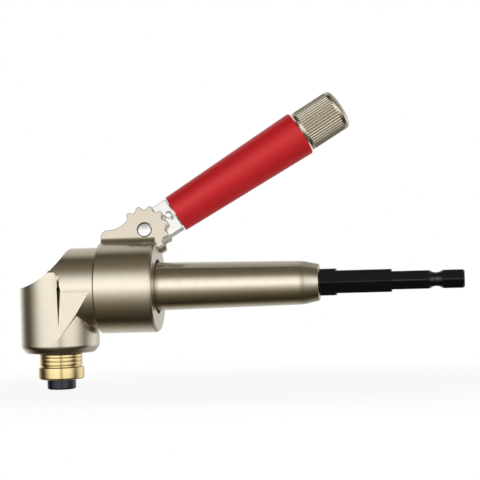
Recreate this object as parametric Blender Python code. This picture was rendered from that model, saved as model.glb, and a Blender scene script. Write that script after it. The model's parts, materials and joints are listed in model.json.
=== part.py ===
"""Right angle drill adapter with a swivelling side handle.

Built in metres, +Z up. The origin is the centre of the drive shank's end face and +X points out
of that face. Sizes along the drive are stations measured from the gear centre, where the input
axis (along X) crosses the output spindle's axis (along Z).
"""

import math

import bmesh
import bpy
from mathutils import Vector

# Fits
FIT = 0.0003
OVERLAP = 0.00005
STEPS = 32
BARREL_STEPS = 44
SMALL_STEPS = 24
SHARP_ANGLE = math.radians(28)

# Input line, stations from the gear centre
SHANK_END = 0.1437
GROOVE_END = 0.1360
GROOVE_START = 0.1317
QUARTER_HEX_START = 0.1185
FIVE_SIXTEENTHS_HEX_START = 0.0992
NECK_END = 0.0933
NECK_CONE_START = 0.0874
FIRST_HEX_FLATS = 0.0093
FIVE_SIXTEENTHS_FLATS = 0.00794
QUARTER_HEX_FLATS = 0.00635
GROOVE_DIAMETER = 0.0048
HEX_CHAMFER = 0.0006

# Neck tube
NECK_END_R = 0.0064
NECK_BORE_R = 0.0063
NECK_SHOULDER = 0.00155
NECK_TAPER = 0.00098
# Bearings and bushes
INPUT_BEARING_R = 0.0080
INPUT_BEARING_BORE_R = 0.0040
INPUT_BEARING_SET_IN = 0.0022
BEARING_WIDTH = 0.0050
BEARING_RING = 0.0011
SPINDLE_BEARING_R = 0.0095
SPINDLE_BEARING_BORE_R = 0.0050
SPINDLE_BEARING_TOP = -0.0129
NECK_BUSH_R = 0.0056
NECK_BUSH_LENGTH = 0.0058
NECK_BUSH_WALL = 0.0013
UPPER_BUSH_R = 0.0042
UPPER_BUSH_HEIGHT = 0.0033
UPPER_BUSH_BOTTOM = -0.0013

# Gears
GEAR_TEETH = 16
GEAR_PITCH_R = 0.0082
GEAR_FACE = 0.0032
GEAR_BORE_R = 0.0031
GEAR_HUB_R = 0.0060
PRESSURE_ANGLE = math.radians(20)
TOOTH_THICKNESS = 0.86
TOOTH_ADDENDUM = 0.9
GEAR_TIP_R = GEAR_PITCH_R * (1 + math.sqrt(2) * TOOTH_ADDENDUM / GEAR_TEETH)

# Journal at the front of the neck, bored for the pinion
SPIGOT_START = GEAR_PITCH_R
SPIGOT_BORE_R = GEAR_TIP_R + FIT
SPIGOT_WALL = 0.00105
JOURNAL_R = SPIGOT_BORE_R + SPIGOT_WALL
NECK_START_R = JOURNAL_R - NECK_SHOULDER
NECK_CONE_R = NECK_START_R - NECK_TAPER

# Head housing
BARREL_R = 0.01395
BARREL_BOTTOM = -0.0225
BARREL_TOP = 0.0064
BARREL_TOP_ROUND = 0.0016
BARREL_CHAMFER = 0.0022
BARREL_CHAMFER_WIDTH = 0.0017
SIDE_BARREL_R = 0.0144
SIDE_BARREL_START = 0.0023
SIDE_BARREL_REACH = 0.00125
SIDE_BARREL_END = BARREL_R + SIDE_BARREL_REACH
SIDE_FACET = 0.0010
SCOOP_R = 0.0230
SCOOP_CENTRE = (-0.01634, 0.02342)
GUSSET_SET_BACK = 0.0013
GUSSET_TIP = (SIDE_BARREL_END - GUSSET_SET_BACK, -0.0008)
GUSSET_FOOT = (0.0016, -0.0162)
GUSSET_DRAFT = 0.02
CAVITY_R = GEAR_TIP_R + FIT
CAVITY_TOP = -0.0015
CIRCLIP_WIDTH = 0.0010
CIRCLIP_DEPTH = 0.0007
SEAL_THICKNESS = 0.0024
INPUT_BEARING_START = SIDE_BARREL_END - INPUT_BEARING_SET_IN

# Output spindle and quick-change chuck
SPINDLE_R = 0.0051
SPINDLE_BOTTOM = -0.0356
SPINDLE_NOSE_CHAMFER = 0.0006
SPINDLE_TOP_R = 0.0025
SOCKET_FLATS = 0.00645
SOCKET_DEPTH = 0.0206
BALL_R = 0.0011
BALL_DROP = 0.0122
SLEEVE_TOP = -0.0229
SLEEVE_BOTTOM = -0.0316
SLEEVE_R = 0.0076
SLEEVE_RING_R = 0.0082
SLEEVE_RING_TOP = -0.0275
SLEEVE_GROOVES = (-0.0242, -0.0256)
SLEEVE_GROOVE_WIDTH = 0.0006
SLEEVE_GROOVE_DEPTH = 0.0004
SLEEVE_WALL = 0.00085
SLEEVE_CAVITY_R = SLEEVE_R - SLEEVE_WALL
SLEEVE_LAND = 0.0021
SLEEVE_CHAMFER = 0.0005
SPRING_TURNS = 4
SPRING_WIRE_R = 0.00035
CHUCK_WASHER = 0.0007
CHUCK_WASHER_TOP = -0.0304
CLIP_THICKNESS = 0.0006

# Handle collar; its own frame leans back about the input axis
COLLAR_LEAN = math.radians(-13)
COLLAR_START = SIDE_BARREL_END + FIT
COLLAR_LENGTH = 0.0205
COLLAR_END = COLLAR_START + COLLAR_LENGTH
COLLAR_R = 0.01615
COLLAR_CHAMFER = 0.0007
COLLAR_WALL = 0.0022
COLLAR_RECESS = 0.0025
COLLAR_RECESS_GAP = 0.00095
COLLAR_RECESS_R = NECK_START_R + COLLAR_RECESS_GAP
COLLAR_WALL_START = COLLAR_END - COLLAR_RECESS - COLLAR_WALL
WASHER_THICKNESS = 0.0007
JOURNAL_END = COLLAR_WALL_START - WASHER_THICKNESS - 2 * FIT
NECK_CLIP_DEPTH = 0.0006
NECK_CLIP_RISE = 0.00065
NECK_CLIP_R = NECK_START_R + NECK_CLIP_RISE

# Ears of the collar
PIVOT_SET_BACK = 0.0044
PIVOT_X = COLLAR_END - PIVOT_SET_BACK
PIVOT_HEIGHT = 0.0197
PIVOT_PIN_R = 0.00245
EAR_HALF_SPAN = 0.0049
EAR_GAP = 0.0050
EAR_FLOOR = 0.0129
EAR_INSET = 0.0003
EAR_FILLET_R = 0.0030
EAR_FILLET_TOP = 0.0171
EAR_CORNER_R = 0.0026
EAR_CORNER_TOP = 0.0199
EAR_SWEEP_R = 0.0085
EAR_SWEEP = math.radians(55)
EAR_HEEL_HEIGHT = 0.0131
EAR_HEEL = 0.0014
NOTCH_STEP = math.radians(30)
NOTCH_R = 0.0013
NOTCH_CENTRE_R = 0.00865
LOBE_TIP_R = 0.0087
FIRST_LOBES = 7

# Handle, along its own axis from the pivot
HANDLE_ANGLE = math.radians(32.2)
TONGUE_WIDTH = 0.0122
TONGUE_THICKNESS = 0.0044
YOKE_SHANK_R = 0.0048
YOKE_END = 0.0690
GRIP_START = 0.0123
GRIP_END = 0.0656
GRIP_START_R = 0.0069
GRIP_END_R = 0.0083
GRIP_ROUND = 0.0006
KNOB_END = 0.0818
KNOB_R = 0.0075
KNOB_RIM = 0.0006
KNOB_RIM_CHAMFER = 0.0009
KNOB_THREAD_R = 0.0027
KNOB_CAP = 0.0040
KNOB_CLIP_SET = 0.0012
LOCK_ROD_R = 0.0012
LOCK_SCREW_R = 0.0024
LOCK_SCREW_START = 0.0600
LOCK_PIN_R = 0.00115
LOCK_TRAVEL = 0.0015

# Finishes: base colour, metallic, roughness
FINISHES = {
    "satin_nickel": ((0.62, 0.57, 0.47), 1.0, 0.32),
    "bright_nickel": ((0.72, 0.70, 0.65), 1.0, 0.20),
    "polished_steel": ((0.80, 0.80, 0.80), 1.0, 0.15),
    "bearing_steel": ((0.55, 0.56, 0.58), 1.0, 0.25),
    "black_oxide": ((0.02, 0.02, 0.025), 0.8, 0.38),
    "brass": ((0.72, 0.47, 0.16), 1.0, 0.22),
    "bronze": ((0.42, 0.26, 0.12), 1.0, 0.40),
    "red_anodised": ((0.52, 0.01, 0.02), 0.4, 0.35),
    "rubber": ((0.02, 0.02, 0.02), 0.0, 0.70),
}


def clear_scene():
    for old in list(bpy.data.objects):
        bpy.data.objects.remove(old, do_unlink=True)


def finish(name, kind):
    colour, metallic, roughness = FINISHES[kind]
    mat = bpy.data.materials.new(name + "_finish")
    mat.use_nodes = True
    shader = mat.node_tree.nodes["Principled BSDF"]
    shader.inputs["Base Color"].default_value = (*colour, 1.0)
    shader.inputs["Metallic"].default_value = metallic
    shader.inputs["Roughness"].default_value = roughness
    return mat


def frame(name, parent=None, location=(0, 0, 0), rotation=(0, 0, 0)):
    """An empty that carries pieces and sits on their joint's axis."""
    empty = bpy.data.objects.new(name, None)
    bpy.context.collection.objects.link(empty)
    empty.empty_display_size = 0.01
    empty.parent = parent
    empty.location = location
    empty.rotation_euler = rotation
    return empty


def mesh_object(name, bm, parent):
    bmesh.ops.remove_doubles(bm, verts=bm.verts, dist=1e-7)
    bmesh.ops.recalc_face_normals(bm, faces=bm.faces)
    mesh = bpy.data.meshes.new(name)
    bm.to_mesh(mesh)
    bm.free()
    mesh.shade_smooth()
    mesh.set_sharp_from_angle(angle=SHARP_ANGLE)
    obj = bpy.data.objects.new(name, mesh)
    bpy.context.collection.objects.link(obj)
    obj.parent = parent
    return obj


def piece(name, bm, parent, kind):
    obj = mesh_object(name, bm, parent)
    obj.data.materials.append(finish(name, kind))
    return obj


def guide(name, bm, parent):
    """A shape that only cuts or joins another one."""
    obj = mesh_object(name, bm, parent)
    obj.hide_render = True
    obj.display_type = "WIRE"
    return obj


def combine(target, other, operation):
    mod = target.modifiers.new(other.name, "BOOLEAN")
    mod.operation = operation
    mod.solver = "EXACT"
    mod.object = other


def cut(target, other):
    combine(target, other, "DIFFERENCE")


def join(target, other):
    combine(target, other, "UNION")


def turned(profile, axis, steps=STEPS):
    """Solid of revolution from (along, radius) points; it closes on itself or on the axis."""
    bm = bmesh.new()
    along = Vector(axis)
    out = Vector((0, 0, 1)) if axis == (1, 0, 0) else Vector((1, 0, 0))
    verts = [bm.verts.new(along * a + out * r) for a, r in profile]
    solid_core = profile[0][1] == 0 and profile[-1][1] == 0
    for first, second in zip(verts, verts[1:]):
        bm.edges.new((first, second))
    if not solid_core:
        bm.edges.new((verts[-1], verts[0]))
    bmesh.ops.spin(
        bm, geom=list(bm.verts) + list(bm.edges), cent=(0, 0, 0), axis=axis,
        angle=math.tau, steps=steps, use_merge=True,
    )
    return bm


def ring(low, high, inner, outer, axis, steps=STEPS):
    return turned([(low, inner), (low, outer), (high, outer), (high, inner)], axis, steps)


def rod(low, high, radius, axis, steps=SMALL_STEPS):
    return turned([(low, 0), (low, radius), (high, radius), (high, 0)], axis, steps)


def prism(outline, low, high, place):
    """Extrude an outline from low to high; place turns (u, v, w) into a point."""
    bm = bmesh.new()
    face = bm.faces.new([bm.verts.new(place(u, v, low)) for u, v in outline])
    moved = bmesh.ops.extrude_face_region(bm, geom=[face])["geom"]
    verts = [item for item in moved if isinstance(item, bmesh.types.BMVert)]
    bmesh.ops.translate(bm, verts=verts, vec=place(0, 0, high) - place(0, 0, low))
    return bm


def side_view(x, z, y):
    return Vector((x, y, z))


def end_view(y, z, x):
    return Vector((x, y, z))


def lofted(rings, closed=False):
    """Skin over rings of equal length; capped at both ends unless closed into a loop."""
    bm = bmesh.new()
    loops = [[bm.verts.new(point) for point in points] for points in rings]
    pairs = list(zip(loops, loops[1:]))
    if closed:
        pairs.append((loops[-1], loops[0]))
    for lower, upper in pairs:
        for k in range(len(lower)):
            after = (k + 1) % len(lower)
            bm.faces.new((lower[k], lower[after], upper[after], upper[k]))
    if not closed:
        bm.faces.new(loops[0])
        bm.faces.new(loops[-1])
    return bm


def arc(centre, radius, start, end, steps):
    points = []
    for k in range(steps + 1):
        angle = start + (end - start) * k / steps
        points.append((centre[0] + radius * math.cos(angle), centre[1] + radius * math.sin(angle)))
    return points


def hex_radius(flats, angle):
    """Distance to a hexagon's side; flats face up and down."""
    sector = math.radians(60)
    from_flat = (angle - math.radians(90) + sector / 2) % sector - sector / 2
    return flats / 2 / math.cos(from_flat)


def hex_ring(x, flats, limit=None, count=24):
    """Hexagon section at x, turned down to a circle of radius limit where it is given."""
    points = []
    for k in range(count):
        angle = math.tau * k / count
        radius = hex_radius(flats, angle)
        if limit is not None:
            radius = min(radius, limit)
        points.append(Vector((x, radius * math.cos(angle), radius * math.sin(angle))))
    return points


def round_ring(x, radius, count=24):
    angles = [math.tau * k / count for k in range(count)]
    return [Vector((x, radius * math.cos(a), radius * math.sin(a))) for a in angles]


def neck_radius(x):
    """Outside radius of the neck tube's long taper."""
    share = (x - JOURNAL_END) / (NECK_CONE_START - JOURNAL_END)
    return NECK_START_R + (NECK_CONE_R - NECK_START_R) * share


def bush_start():
    return NECK_CONE_START - NECK_BUSH_LENGTH / 2


def housing_bottom_bore():
    return SPINDLE_BEARING_R + FIT


def spindle_bearing_bottom():
    return SPINDLE_BEARING_TOP - BEARING_WIDTH


def circlip_top():
    return spindle_bearing_bottom() - FIT


def build_housing(head):
    """Cast elbow: two crossing barrels, a scooped back and a gusset in the inner corner."""
    barrel = [
        (BARREL_BOTTOM, 0),
        (BARREL_BOTTOM, BARREL_R - BARREL_CHAMFER_WIDTH),
        (BARREL_BOTTOM + BARREL_CHAMFER, BARREL_R),
    ]
    round_centre = (BARREL_TOP - BARREL_TOP_ROUND, BARREL_R - BARREL_TOP_ROUND)
    barrel += arc(round_centre, BARREL_TOP_ROUND, math.radians(90), 0, 4)
    barrel.append((BARREL_TOP, 0))
    housing = piece("head_housing", turned(barrel, (0, 0, 1), BARREL_STEPS), head, "satin_nickel")

    side = [
        (SIDE_BARREL_START, 0),
        (SIDE_BARREL_START, SIDE_BARREL_R - SIDE_FACET),
        (SIDE_BARREL_START + SIDE_FACET, SIDE_BARREL_R),
        (SIDE_BARREL_END, SIDE_BARREL_R),
        (SIDE_BARREL_END, 0),
    ]
    join(housing, guide("side_barrel", turned(side, (1, 0, 0), BARREL_STEPS), head))

    crown_end = (SIDE_BARREL_START + SIDE_BARREL_END) / 2
    crown_bm = rod(-BARREL_R, crown_end, SIDE_BARREL_R - OVERLAP, (1, 0, 0), BARREL_STEPS)
    crown = guide("crown", crown_bm, head)
    crown_limit = rod(BARREL_BOTTOM / 2, 2 * BARREL_R, BARREL_R - OVERLAP, (0, 0, 1), BARREL_STEPS)
    combine(crown, guide("crown_limit", crown_limit, head), "INTERSECT")
    join(housing, crown)
    join(housing, guide("gusset", gusset_shape(), head))

    reach = 2 * BARREL_R
    scoop = prism(arc(SCOOP_CENTRE, SCOOP_R, 0, math.tau * 95 / 96, 95), -reach, reach, side_view)
    cut(housing, guide("scoop", scoop, head))

    bore = housing_bottom_bore()
    groove_low = circlip_top() - CIRCLIP_WIDTH - 2 * FIT
    bearing_shoulder = SPINDLE_BEARING_TOP + FIT
    cavity = [
        (BARREL_BOTTOM - FIT, 0),
        (BARREL_BOTTOM - FIT, bore),
        (groove_low, bore),
        (groove_low, bore + CIRCLIP_DEPTH),
        (circlip_top() + FIT, bore + CIRCLIP_DEPTH),
        (circlip_top() + FIT, bore),
        (bearing_shoulder, bore),
        (bearing_shoulder, CAVITY_R),
        (CAVITY_TOP, CAVITY_R),
        (CAVITY_TOP, UPPER_BUSH_R + FIT),
        (UPPER_BUSH_BOTTOM + UPPER_BUSH_HEIGHT + FIT, UPPER_BUSH_R + FIT),
        (UPPER_BUSH_BOTTOM + UPPER_BUSH_HEIGHT + FIT, 0),
    ]
    cut(housing, guide("spindle_cavity", turned(cavity, (0, 0, 1)), head))
    pinion_front = GEAR_PITCH_R * (1 - GEAR_FACE / cone_distance()) - 3 * FIT
    neck_bore = [
        (pinion_front, 0),
        (pinion_front, SPIGOT_BORE_R),
        (SPIGOT_START - FIT, SPIGOT_BORE_R),
        (SPIGOT_START - FIT, JOURNAL_R + FIT),
        (SIDE_BARREL_END + FIT, JOURNAL_R + FIT),
        (SIDE_BARREL_END + FIT, 0),
    ]
    cut(housing, guide("neck_cavity", turned(neck_bore, (1, 0, 0)), head))


def gusset_shape():
    """Web across the inner corner, with drafted cheeks and a slanted leading edge."""
    bm = bmesh.new()
    left = SIDE_BARREL_START
    outline = [(left, 0), (GUSSET_TIP[0], 0), GUSSET_TIP, GUSSET_FOOT, (left - SIDE_FACET, GUSSET_FOOT[1])]
    sides = []
    for sign in (-1, 1):
        verts = []
        for x, z in outline:
            half = SIDE_BARREL_R - OVERLAP + GUSSET_DRAFT * z
            verts.append(bm.verts.new((x + (SIDE_FACET if x <= left else 0), sign * half, z)))
        sides.append(verts)
    near, far = sides
    bm.faces.new(near)
    bm.faces.new(list(reversed(far)))
    for k in range(len(near)):
        after = (k + 1) % len(near)
        bm.faces.new((near[k], near[after], far[after], far[k]))
    bmesh.ops.triangulate(bm, faces=list(bm.faces))
    return bm


def build_neck(head):
    """Tapered neck that carries the shaft and, on its journal, the handle collar."""
    x = (1, 0, 0)
    seat_end = INPUT_BEARING_START + BEARING_WIDTH + FIT
    bush_end = bush_start() + NECK_BUSH_LENGTH + FIT
    groove_start = COLLAR_WALL_START + COLLAR_WALL + FIT
    groove_end = groove_start + CIRCLIP_WIDTH + FIT
    profile = [
        (SPIGOT_START, SPIGOT_BORE_R),
        (SPIGOT_START, JOURNAL_R),
        (JOURNAL_END, JOURNAL_R),
        (JOURNAL_END, NECK_START_R),
        (groove_start, neck_radius(groove_start)),
        (groove_start, neck_radius(groove_start) - NECK_CLIP_DEPTH),
        (groove_end, neck_radius(groove_end) - NECK_CLIP_DEPTH),
        (groove_end, neck_radius(groove_end)),
        (NECK_CONE_START, NECK_CONE_R),
        (NECK_END, NECK_END_R),
        (NECK_END, NECK_BUSH_R - NECK_BUSH_WALL + FIT),
        (bush_end, NECK_BUSH_R - NECK_BUSH_WALL + FIT),
        (bush_end, NECK_BUSH_R + FIT),
        (bush_start() - FIT, NECK_BUSH_R + FIT),
        (bush_start() - FIT, NECK_BORE_R),
        (seat_end, NECK_BORE_R),
        (seat_end, INPUT_BEARING_R + FIT),
        (INPUT_BEARING_START, INPUT_BEARING_R + FIT),
        (INPUT_BEARING_START, SPIGOT_BORE_R),
    ]
    piece("neck_tube", turned(profile, x), head, "bright_nickel")
    bush_bore = NECK_BUSH_R - NECK_BUSH_WALL
    bush = ring(bush_start(), bush_start() + NECK_BUSH_LENGTH, bush_bore, NECK_BUSH_R, x, SMALL_STEPS)
    piece("neck_bush", bush, head, "bronze")
    clip_inner = neck_radius(groove_end) - NECK_CLIP_DEPTH + FIT
    clip = open_ring(clip_inner, NECK_CLIP_R, groove_start + FIT / 2, CIRCLIP_WIDTH, x)
    piece("collar_circlip", clip, head, "bearing_steel")
    washer_start = JOURNAL_END + FIT
    washer_end = washer_start + WASHER_THICKNESS
    washer = ring(washer_start, washer_end, NECK_START_R + FIT, JOURNAL_R - FIT, x, SMALL_STEPS)
    piece("friction_washer", washer, head, "bearing_steel")


def open_ring(inner, outer, low, thickness, axis, gap=math.radians(40)):
    """Retaining ring with a gap on its far side."""
    steps = 20
    start, end = math.radians(90) + gap / 2, math.radians(450) - gap / 2
    outline = arc((0, 0), outer, start, end, steps) + arc((0, 0), inner, end, start, steps)
    if axis == (1, 0, 0):
        return prism(outline, low, low + thickness, end_view)
    return prism(outline, low, low + thickness, lambda px, py, z: Vector((px, py, z)))


def bearing_outer(low, outer, bore, axis):
    """Outer ring with the two shields that it carries."""
    high = low + BEARING_WIDTH
    race = outer - BEARING_RING
    shield = bore + BEARING_RING + FIT
    edge = 2 * FIT
    return turned([
        (low, shield), (low, outer), (high, outer), (high, shield),
        (high - edge, shield), (high - edge, race), (low + edge, race), (low + edge, shield),
    ], axis, SMALL_STEPS)


def build_bearings(head, input_axis, output_axis):
    x, z = (1, 0, 0), (0, 0, 1)
    low = spindle_bearing_bottom()
    outer = bearing_outer(INPUT_BEARING_START, INPUT_BEARING_R, INPUT_BEARING_BORE_R, x)
    piece("input_bearing_outer", outer, head, "bearing_steel")
    inner_r = INPUT_BEARING_BORE_R + BEARING_RING
    end = INPUT_BEARING_START + BEARING_WIDTH
    inner = ring(INPUT_BEARING_START, end, INPUT_BEARING_BORE_R, inner_r, x, SMALL_STEPS)
    piece("input_bearing_inner", inner, input_axis, "bearing_steel")
    outer = bearing_outer(low, SPINDLE_BEARING_R, SPINDLE_BEARING_BORE_R, z)
    piece("spindle_bearing_outer", outer, head, "bearing_steel")
    inner_r = SPINDLE_BEARING_BORE_R + BEARING_RING
    inner = ring(low, low + BEARING_WIDTH, SPINDLE_BEARING_BORE_R, inner_r, z, SMALL_STEPS)
    piece("spindle_bearing_inner", inner, output_axis, "bearing_steel")
    bush_bore = SPINDLE_TOP_R + FIT
    bush_top = UPPER_BUSH_BOTTOM + UPPER_BUSH_HEIGHT
    bush = ring(UPPER_BUSH_BOTTOM, bush_top, bush_bore, UPPER_BUSH_R, z, SMALL_STEPS)
    piece("upper_spindle_bush", bush, head, "bronze")
    clip_outer = housing_bottom_bore() + CIRCLIP_DEPTH - FIT
    clip_inner = SPINDLE_BEARING_R - BEARING_RING
    clip = open_ring(clip_inner, clip_outer, circlip_top() - CIRCLIP_WIDTH, CIRCLIP_WIDTH, z)
    piece("spindle_bearing_circlip", clip, head, "bearing_steel")
    seal_top = circlip_top() - CIRCLIP_WIDTH - FIT
    seal = ring(seal_top - SEAL_THICKNESS, seal_top, SPINDLE_R + FIT, SPINDLE_BEARING_R, z, SMALL_STEPS)
    piece("spindle_seal", seal, head, "rubber")


def cone_distance():
    return GEAR_PITCH_R * math.sqrt(2)


def tooth_section():
    """Half-angles and heights of one tooth at the big end, from root to tip.

    The teeth of a 45 degree bevel gear are drawn as involutes on its back cone, whose
    radius is the pitch radius divided by cos 45.
    """
    module = 2 * GEAR_PITCH_R / GEAR_TEETH
    virtual_r = GEAR_PITCH_R * math.sqrt(2)
    virtual_teeth = GEAR_TEETH * math.sqrt(2)
    base_r = virtual_r * math.cos(PRESSURE_ANGLE)
    heights = (-1.2 * module, 0, TOOTH_ADDENDUM * module)
    section = []
    for height in heights:
        radius = max(virtual_r + height, base_r)
        roll = math.acos(min(1.0, base_r / radius))
        flank = math.tan(roll) - roll
        pitch_flank = math.tan(PRESSURE_ANGLE) - PRESSURE_ANGLE
        half = TOOTH_THICKNESS * math.pi / 2 / virtual_teeth + pitch_flank - flank
        section.append((height, half * math.sqrt(2)))
    return section


def gear_shape(hub_length, phase, to_world):
    """Bevel gear about a local +Z axis, apex at the origin, with its hub at the back."""
    section = tooth_section()
    corners = [(height, -half) for height, half in section] + [(h, half) for h, half in reversed(section)]
    slope = math.sqrt(0.5)
    pitch_angle = math.tau / GEAR_TEETH

    def tooth_ring(scale):
        points = []
        for tooth in range(GEAR_TEETH):
            for height, side in corners:
                angle = phase + tooth * pitch_angle + side
                radius = (GEAR_PITCH_R + height * slope) * scale
                along = (GEAR_PITCH_R - height * slope) * scale
                points.append((radius, angle, along))
        return points

    def plain_ring(radius, along):
        return [(radius, angle, along) for _, angle, _ in tooth_ring(1.0)]

    small = 1 - GEAR_FACE / cone_distance()
    root_front = (GEAR_PITCH_R - section[0][0] * slope) * small
    hub_start = GEAR_PITCH_R + GEAR_FACE * slope / 2
    rings = [
        plain_ring(GEAR_BORE_R, root_front),
        tooth_ring(small),
        tooth_ring(1.0),
        plain_ring(GEAR_HUB_R, hub_start),
        plain_ring(GEAR_HUB_R, hub_start + hub_length),
        plain_ring(GEAR_BORE_R, hub_start + hub_length),
    ]
    rings = [[to_world(r * math.cos(a), r * math.sin(a), z) for r, a, z in points] for points in rings]
    return lofted(rings, closed=True)


def build_gears(input_axis, output_axis):
    hub_start = GEAR_PITCH_R + GEAR_FACE * math.sqrt(0.5) / 2
    pinion_hub = INPUT_BEARING_START - FIT - hub_start
    gear_hub = -SPINDLE_BEARING_TOP - FIT - hub_start
    half_pitch = math.pi / GEAR_TEETH
    pinion = gear_shape(pinion_hub, 0, lambda a, b, c: Vector((c, b, -a)))
    piece("bevel_pinion", pinion, input_axis, "bearing_steel")
    gear = gear_shape(gear_hub, half_pitch, lambda a, b, c: Vector((a, b, -c)))
    piece("bevel_gear", gear, output_axis, "bearing_steel")


def build_shaft(input_axis):
    """Input shaft: plain inside the neck, then the stepped hex shank with its power groove."""
    small_r = GEAR_BORE_R - FIT
    journal_r = INPUT_BEARING_BORE_R - FIT
    shoulder = INPUT_BEARING_START + BEARING_WIDTH + FIT
    bush_journal = NECK_BUSH_R - NECK_BUSH_WALL - FIT
    shoulder_r = journal_r + BEARING_RING
    front = GEAR_PITCH_R * (1 - GEAR_FACE / cone_distance()) - FIT
    rings = [
        round_ring(front, small_r),
        round_ring(INPUT_BEARING_START - FIT, small_r),
        round_ring(INPUT_BEARING_START - FIT, journal_r),
        round_ring(shoulder, journal_r),
        round_ring(shoulder, shoulder_r),
        round_ring(bush_start() - FIT, shoulder_r),
        round_ring(bush_start() - FIT, bush_journal),
        round_ring(NECK_END + FIT, bush_journal),
    ]
    steps = (
        (NECK_END + FIT, FIVE_SIXTEENTHS_HEX_START, FIRST_HEX_FLATS),
        (FIVE_SIXTEENTHS_HEX_START, QUARTER_HEX_START, FIVE_SIXTEENTHS_FLATS),
        (QUARTER_HEX_START, GROOVE_START, QUARTER_HEX_FLATS),
    )
    for start, end, flats in steps:
        rings.append(hex_ring(start, flats))
        rings.append(hex_ring(end - HEX_CHAMFER, flats))
        rings.append(hex_ring(end, flats, flats / 2 + HEX_CHAMFER / 4))
    groove_r = GROOVE_DIAMETER / 2
    middle = (GROOVE_START + GROOVE_END) / 2
    rings.append(round_ring(middle - HEX_CHAMFER, groove_r))
    rings.append(round_ring(middle + HEX_CHAMFER, groove_r))
    rings.append(hex_ring(GROOVE_END, QUARTER_HEX_FLATS, QUARTER_HEX_FLATS / 2 + HEX_CHAMFER / 4))
    rings.append(hex_ring(GROOVE_END + HEX_CHAMFER, QUARTER_HEX_FLATS))
    rings.append(hex_ring(SHANK_END - HEX_CHAMFER, QUARTER_HEX_FLATS))
    rings.append(hex_ring(SHANK_END, QUARTER_HEX_FLATS, QUARTER_HEX_FLATS / 2 - HEX_CHAMFER / 2))
    piece("input_shaft", lofted(rings), input_axis, "black_oxide")


def build_spindle(output_axis):
    """Output spindle with a blind hex socket and a ball that locks the bit."""
    z = (0, 0, 1)
    gear_seat = GEAR_BORE_R - FIT
    bearing_seat = SPINDLE_BEARING_BORE_R - FIT
    gear_front = -GEAR_PITCH_R * (1 - GEAR_FACE / cone_distance()) + FIT
    profile = [
        (SPINDLE_BOTTOM, 0),
        (SPINDLE_BOTTOM, SPINDLE_R - SPINDLE_NOSE_CHAMFER),
        (SPINDLE_BOTTOM + SPINDLE_NOSE_CHAMFER, SPINDLE_R),
        (spindle_bearing_bottom() - FIT, SPINDLE_R),
        (spindle_bearing_bottom() - FIT, bearing_seat),
        (SPINDLE_BEARING_TOP, bearing_seat),
        (SPINDLE_BEARING_TOP, gear_seat),
        (gear_front, gear_seat),
        (gear_front, SPINDLE_TOP_R),
        (UPPER_BUSH_BOTTOM + UPPER_BUSH_HEIGHT, SPINDLE_TOP_R),
        (UPPER_BUSH_BOTTOM + UPPER_BUSH_HEIGHT, 0),
    ]
    spindle = piece("output_spindle", turned(profile, z, STEPS), output_axis, "black_oxide")
    angles = [math.radians(30 + 60 * k) for k in range(6)]
    corner = SOCKET_FLATS / math.sqrt(3)
    outline = [(corner * math.cos(a), corner * math.sin(a)) for a in angles]
    top = SPINDLE_BOTTOM + SOCKET_DEPTH
    socket = prism(outline, SPINDLE_BOTTOM - FIT, top, lambda px, py, h: Vector((px, py, h)))
    cut(spindle, guide("hex_socket", socket, output_axis))
    ball_z = SPINDLE_BOTTOM + BALL_DROP
    hole = rod(SOCKET_FLATS / 4, 2 * SPINDLE_R, BALL_R + FIT, (1, 0, 0), 20)
    ball_hole = guide("ball_hole", hole, output_axis)
    ball_hole.location.z = ball_z
    cut(spindle, ball_hole)
    bm = bmesh.new()
    bmesh.ops.create_icosphere(bm, subdivisions=2, radius=BALL_R)
    bmesh.ops.translate(bm, verts=bm.verts, vec=(SPINDLE_R - BALL_R, 0, ball_z))
    piece("chuck_ball", bm, output_axis, "bearing_steel")


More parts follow.
